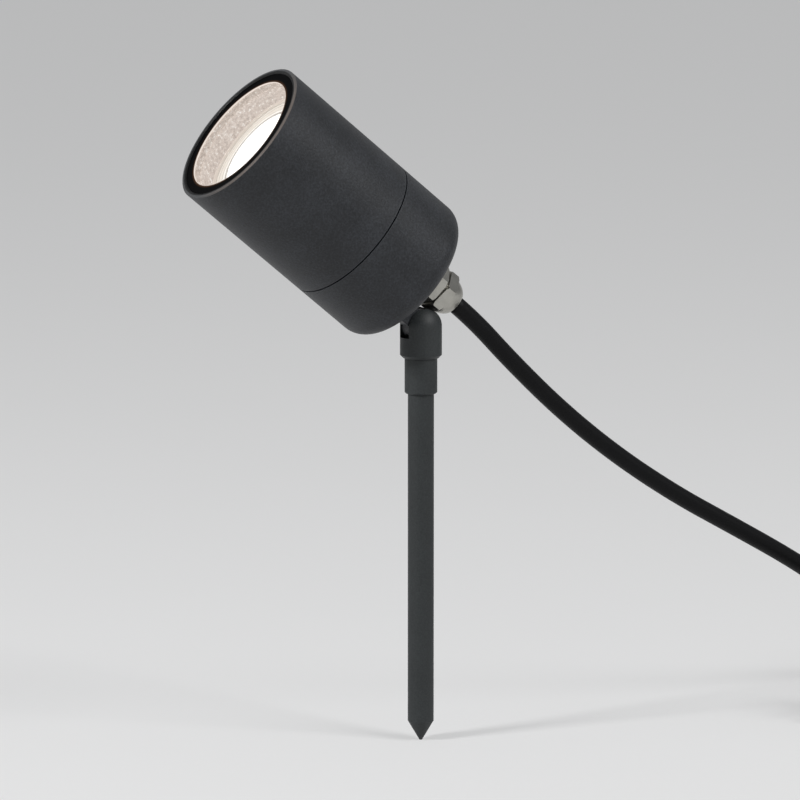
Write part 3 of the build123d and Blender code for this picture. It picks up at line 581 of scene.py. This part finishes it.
def grained(name, colour, roughness, size, depth, spread=0.25, **constants):
    """Even finish with a fine grain: colour, roughness and bump follow noise of one size.

    A broad noise thirty times coarser adds slight clouds, as spray or moulding leaves them.
    """
    material = finish(name, **constants)
    where = place(material)
    fine = noise(material, where, size, detail=3.0)
    both = both_of(material, fine, noise(material, where, size * 30), 0.3)
    stops = [(0.3, tint(colour, 1 - spread)), (0.5, colour), (0.7, tint(colour, 1 + spread))]
    shade(material, "Base Color", ramp(material, both, stops))
    shade(material, "Roughness", spread_to(material, both, roughness * 0.85, roughness * 1.15))
    bumped(material, fine, depth)
    return material


def painted_lamp_light(material):
    """Painted warm lamp light on a grainy coat: mottled beige with bright specks as painted glints.
    """
    grain = noise(material, place(material), 1.1 * MM, detail=5.0, rough=0.72)
    stops = [
        (0.36, (0.44, 0.35, 0.29)),
        (0.50, (0.66, 0.545, 0.465)),
        (0.58, (0.74, 0.63, 0.55)),
        (0.64, (1.0, 0.96, 0.90)),
    ]
    return ramp(material, grain, stops)


def lit_shell():
    """Graphite powder coat of the head, with painted lamp light inside the bore.

    By radius and depth: the recess round the ring is painted near black as shade, the lip's edge
    and the two edges of the seam are painted a little lighter as highlights, and the bore between
    the ring and the lamp has painted lamp light. The lip has a faint painted warm glow on its +X
    side.
    """
    material = finish("graphite_powder_coat", Specular_IOR_Level=0.4, **LIT)
    radius, depth = head_radius_and_depth(material)
    where = place(material)
    fine = noise(material, where, 0.8 * MM, detail=3.0, rough=0.6)
    both = both_of(material, fine, noise(material, where, 14 * MM), 0.3)
    stops = [(0.36, tint(SHELL, 0.55)), (0.5, SHELL), (0.64, tint(SHELL, 1.7))]
    coat = ramp(material, both, stops)
    # painted highlight: both edges of the seam are painted lighter
    seam_highlight = share(material, off_from(material, depth, SEAM_DEPTH), *SEAM_HIGHLIGHT)
    coat = mixed(material, seam_highlight, coat, tint(SHELL, 1.8))
    # painted shade: the recess round the ring, inside the lip, is painted near black
    recess = times(
        material, share(material, radius, *RECESS_RADIUS), share(material, depth, *RECESS_DEPTH)
    )
    coat = mixed(material, recess, coat, (0.0025, 0.0025, 0.0025))
    # painted highlight: the lip's edge is painted lighter all round
    lip = times(material, share(material, depth, *LIP_DEPTH), share(material, radius, *LIP_RADIUS))
    coat = mixed(material, lip, coat, (0.075, 0.077, 0.080))
    shade(material, "Base Color", coat)
    shade(material, "Roughness", spread_to(material, both, 0.42, 0.62))
    bumped(material, fine, 0.14 * MM)
    # painted lamp light: the bore between the ring and the lamp glows warm with glints
    length = times(
        material, share(material, depth, *BORE_FRONT), share(material, depth, *BORE_BACK)
    )
    inside = times(material, share(material, radius, *BORE_RADIUS), length)
    across = node(material, "SeparateXYZ", {"Vector": head_place(material)}).outputs["X"]
    # painted warm glow on the lip's +X side, standing in for lamp light
    warm = times(material, lip, share(material, across, *LIP_LIT_X))
    glow = mixed(material, warm, DARK, (0.06, 0.036, 0.02))
    shade(material, "Emission Color", mixed(material, inside, glow, painted_lamp_light(material)))
    return material


def lit_ring():
    """Satin black ring round the glass; the lamp's light on its inner wall and on the rim of its
    face is painted in as a glow.
    """
    black = (0.002, 0.002, 0.0022)
    constants = {"Specular_IOR_Level": 0.03, **LIT}
    material = grained("ring_black", black, 0.6, 0.25 * MM, 0.02 * MM, 0.2, **constants)
    radius, _ = head_radius_and_depth(material)
    near_wall = share(material, radius, *RING_FRINGE)
    fringe = mixed(material, near_wall, DARK, (0.07, 0.034, 0.016))
    wall = share(material, radius, *RING_WALL)
    shade(material, "Emission Color", mixed(material, wall, fringe, (0.84, 0.75, 0.68)))
    return material


def lit_gasket():
    """Rubber seal behind the glass, with the lamp's light on it painted in as a glow over the whole
    seal.
    """
    material = grained("glass_seal", RUBBER, 0.6, 0.3 * MM, 0.03 * MM, Emission_Strength=0.9)
    shade(material, "Emission Color", painted_lamp_light(material))
    return material


def lamp_glow(name, edge, strength):
    """Glow of the lamp's face by radius: white in the middle, cream with rings outside.

    One darker line lies at GLOW_LINE_AT of the radius, and fainter ones lie outside the white,
    one every GLOW_RING_PITCH.
    """
    constants = {"Base_Color": (0.12, 0.12, 0.11, 1), "Roughness": 0.2}
    material = finish(name, Emission_Strength=strength, **constants)
    radius, _ = head_radius_and_depth(material)
    out = share(material, radius, 0.0, edge)
    rings = maths(material, "FRACT", times(material, radius, 1 / GLOW_RING_PITCH))
    line = share(material, rings, 0.0, 0.4)
    cream = ramp(material, line, [(0.0, (0.25, 0.21, 0.18)), (1.0, (0.52, 0.47, 0.41))])
    white = share(material, out, *GLOW_WHITE)
    thin = share(material, off_from(material, out, GLOW_LINE_AT), *GLOW_LINE_WIDTH)
    full = mixed(material, white, cream, (1.0, 0.99, 0.97))
    shade(material, "Emission Color", mixed(material, thin, full, (0.24, 0.21, 0.18)))
    return material


def lamp_body():
    """Pressed glass of the lamp: its front rim has painted cream lamp light, and the bowl behind
    stays grey with a faint painted warm glow.
    """
    grey = (0.20, 0.19, 0.18)
    material = grained("reflector_glass", grey, 0.14, 1.2 * MM, 0.01 * MM, 0.2, **LIT)
    _, depth = head_radius_and_depth(material)
    rim = depth_of("lamp_reflector")[0]
    lit = share(material, depth, rim + LAMP_RIM_LIT[0], rim + LAMP_RIM_LIT[1])
    shade(material, "Emission Color", mixed(material, lit, (0.03, 0.024, 0.02), (0.62, 0.53, 0.45)))
    return material


def turned_metal(name, colour, roughness):
    """Plated or turned metal: fine tool marks and a slightly cloudy plate."""
    material = finish(name, Metallic=1.0)
    where = place(material)
    marks = noise(material, where, 0.25 * MM, detail=4.0, rough=0.7)
    both = both_of(material, marks, noise(material, where, 4 * MM, detail=3.0), 0.5)
    stops = [(0.3, tint(colour, 0.78)), (0.5, colour), (0.7, tint(colour, 1.15))]
    shade(material, "Base Color", ramp(material, both, stops))
    shade(material, "Roughness", spread_to(material, marks, roughness * 0.7, roughness * 1.3))
    bumped(material, marks, 0.03 * MM)
    return material


def clear_glass():
    """Clear tempered glass with a trace of dust in its roughness."""
    constants = {"Base_Color": (1, 1, 1, 1), "Transmission_Weight": 1.0, "IOR": 1.5}
    material = finish("clear_glass", Roughness=0.0, **constants)
    dust = noise(material, place(material), 1.2 * MM, detail=4.0, rough=0.7)
    inputs = {"Value": dust, "From Min": 0.55, "To Min": 0.0, "To Max": 0.02}
    shade(material, "Roughness", node(material, "MapRange", inputs).outputs["Result"])
    return material


def striped_wire():
    """Green sheath with yellow stripes along it, by the place across the wire."""
    material = finish("wire_earth", Roughness=0.4)
    inputs = {"Vector": place(material), "Scale": 180.0}
    bands = node(material, "TexWave", inputs, wave_profile="SIN").outputs["Fac"]
    stops = [(0.45, (0.03, 0.16, 0.03)), (0.55, (0.75, 0.62, 0.04))]
    shade(material, "Base Color", ramp(material, bands, stops))
    return material


CABLE_BLACK = (0.0035, 0.0035, 0.004)
FINISHES = {
    lit_shell(): ["front_housing", "rear_cap"],
    lit_gasket(): ["glass_gasket"],
    lamp_body(): ["lamp_reflector"],
    grained("graphite_fork", POST, 0.55, 0.55 * MM, 0.09 * MM, 0.4): ["knuckle"],
    grained("graphite_rod", POST, 0.6, 0.6 * MM, 0.09 * MM, 0.4): ["spike_rod", "spike_collar"],
    turned_metal("stainless", (0.50, 0.50, 0.50), 0.30): [
        "pivot_screw",
        "swivel_grub_screw",
        "bracket_screws",
        "holder_screws",
        "earth_screw",
        "terminal_screws",
    ],
    turned_metal("nickel_plate", (0.42, 0.41, 0.375), 0.34): [
        "gland_body",
        "gland_nut",
        "gland_locknut",
    ],
    turned_metal("contact_brass", (0.62, 0.47, 0.22), 0.3): [
        "holder_contacts",
        "plug_contacts",
        "lamp_pins",
    ],
    turned_metal("plug_pin_nickel", (0.60, 0.59, 0.55), 0.22): ["plug_pins"],
    turned_metal("zinc_plate", (0.48, 0.50, 0.52), 0.4): ["holder_bracket", "earth_lug"],
    clear_glass(): ["front_glass"],
    lit_ring(): ["retaining_ring"],
    lamp_glow("lamp_face_glow", lens_edge(), 1.6): ["lamp_face"],
    lamp_glow("lamp_source_glow", 10 * MM, 1.6): ["lamp_source"],
    grained("seal_rubber", RUBBER, 0.6, 0.3 * MM, 0.03 * MM): [
        "housing_o_ring",
        "gland_seal",
        "gland_washer",
    ],
    grained("washer_nylon", (0.02, 0.02, 0.02), 0.35, 0.6 * MM, 0.01 * MM): ["friction_washers"],
    grained("ceramic_white", (0.62, 0.60, 0.55), 0.35, 0.5 * MM, 0.02 * MM, 0.06): [
        "lamp_base",
        "lamp_holder",
    ],
    grained("block_plastic", (0.66, 0.66, 0.63), 0.4, 0.8 * MM, 0.01 * MM, 0.05): [
        "terminal_block",
    ],
    grained("cable_rubber", CABLE_BLACK, 0.5, 0.35 * MM, 0.03 * MM, Specular_IOR_Level=0.16): [
        "cable",
        "cable_entry",
    ],
    grained("plug_rubber", (0.011, 0.011, 0.012), 0.5, 0.4 * MM, 0.03 * MM): ["plug"],
    grained("tie_nylon", (0.010, 0.010, 0.010), 0.38, 0.5 * MM, 0.03 * MM): ["cable_tie"],
    grained("wire_brown", (0.16, 0.055, 0.02), 0.4, 0.6 * MM, 0.01 * MM): ["live_core"],
    grained("wire_blue", (0.02, 0.10, 0.42), 0.4, 0.6 * MM, 0.01 * MM): ["neutral_core"],
    striped_wire(): ["earth_core"],
    grained("lead_silicone", (0.60, 0.58, 0.52), 0.5, 0.5 * MM, 0.02 * MM, 0.08): [
        "live_lead",
        "neutral_lead",
    ],
}


def dress(piece, material):
    """Puts one finish in every slot of an object."""
    if not piece.data.materials:
        piece.data.materials.append(material)
    for slot in piece.material_slots:
        slot.material = material


for material, names in FINISHES.items():
    for name in names:
        dress(nodes[name] if name in nodes else bpy.data.objects[name], material)

# ---------------------------------------------------------------- floor and light
PAPER = (0.40, 0.40, 0.40)
PAPER_GLOW = (0.39, 0.39, 0.39)
SIDE_REACH = 12.0
BACKDROP_OFF, BACKDROP_RISE, BACKDROP_BEND = 10.0, 8.0, 2.0
LIGHT_AIM = (0.0, 0.0, 0.05)
PANELS = {  # place, side of the square and power in watts
    "panel_on_left": ((0.10, -1.45, 1.0), 0.35, 19.0),
    "panel_on_right": ((1.25, 0.80, 1.2), 0.8, 19.0),
}
ROOM_COLOUR = (0.8, 0.82, 0.85, 1.0)
ROOM_STRENGTH = 0.27


def make_floor():
    """Plain pale floor, and a backdrop far behind that it runs up into.

    It stands far enough away for the object to be seen from every side. Rays of the camera,
    reflections and glass see the paper's glow, and other rays only its colour.
    """
    angle = np.linspace(0, pi / 2, 13)
    line = [(-SIDE_REACH, 0.0)]
    line += [(BACKDROP_OFF + BACKDROP_BEND * sin(a), BACKDROP_BEND * (1 - cos(a))) for a in angle]
    line += [(BACKDROP_OFF + BACKDROP_BEND, BACKDROP_RISE)]
    line = np.array(line)
    turn = radians(CAMERA_AZIMUTH)
    away = np.array([-sin(turn), cos(turn), 0.0])
    along = np.array([cos(turn), sin(turn), 0.0])
    width = np.array([-SIDE_REACH, SIDE_REACH])
    points = (
        line[:, 0][:, None, None] * away
        + line[:, 1][:, None, None] * np.array([0.0, 0.0, 1.0])
        + width[None, :, None] * along
    )
    points[..., 2] += FLOOR_Z
    rows, columns = points.shape[:2]
    row = np.arange(rows - 1) * columns
    faces = np.stack([row, row + 1, row + columns + 1, row + columns], axis=-1)
    floor = mesh_object("floor", points.reshape(-1, 3), faces)
    paper = grained("backdrop_paper", PAPER, 0.85, 3 * MM, 0.02 * MM, 0.015, **LIT)
    rays = node(paper, "LightPath").outputs
    seen = maths(paper, "MAXIMUM", rays["Is Camera Ray"], rays["Is Glossy Ray"])
    seen = maths(paper, "MAXIMUM", seen, rays["Is Transmission Ray"])
    shade(paper, "Emission Color", mixed(paper, seen, DARK, PAPER_GLOW))
    floor.data.materials.append(paper)


def area_light(name, where, size, power):
    """Square panel that faces the object."""
    data = bpy.data.lights.new(name, "AREA")
    data.size = size
    data.energy = power
    panel = bpy.data.objects.new(name, data)
    panel.location = where
    panel.rotation_mode = "QUATERNION"
    panel.rotation_quaternion = (Vector(LIGHT_AIM) - Vector(where)).to_track_quat("-Z", "Y")
    bpy.context.scene.collection.objects.link(panel)


def make_light():
    """Soft studio light: a small panel from the left, a wide one over the right, and a dim room."""
    world = bpy.data.worlds.new("room")
    world.use_nodes = True
    background = world.node_tree.nodes["Background"]
    background.inputs["Color"].default_value = ROOM_COLOUR
    background.inputs["Strength"].default_value = ROOM_STRENGTH
    bpy.context.scene.world = world
    for name, (where, size, power) in PANELS.items():
        area_light(name, where, size, power)


make_floor()
make_light()
bpy.context.scene.view_settings.view_transform = "Standard"
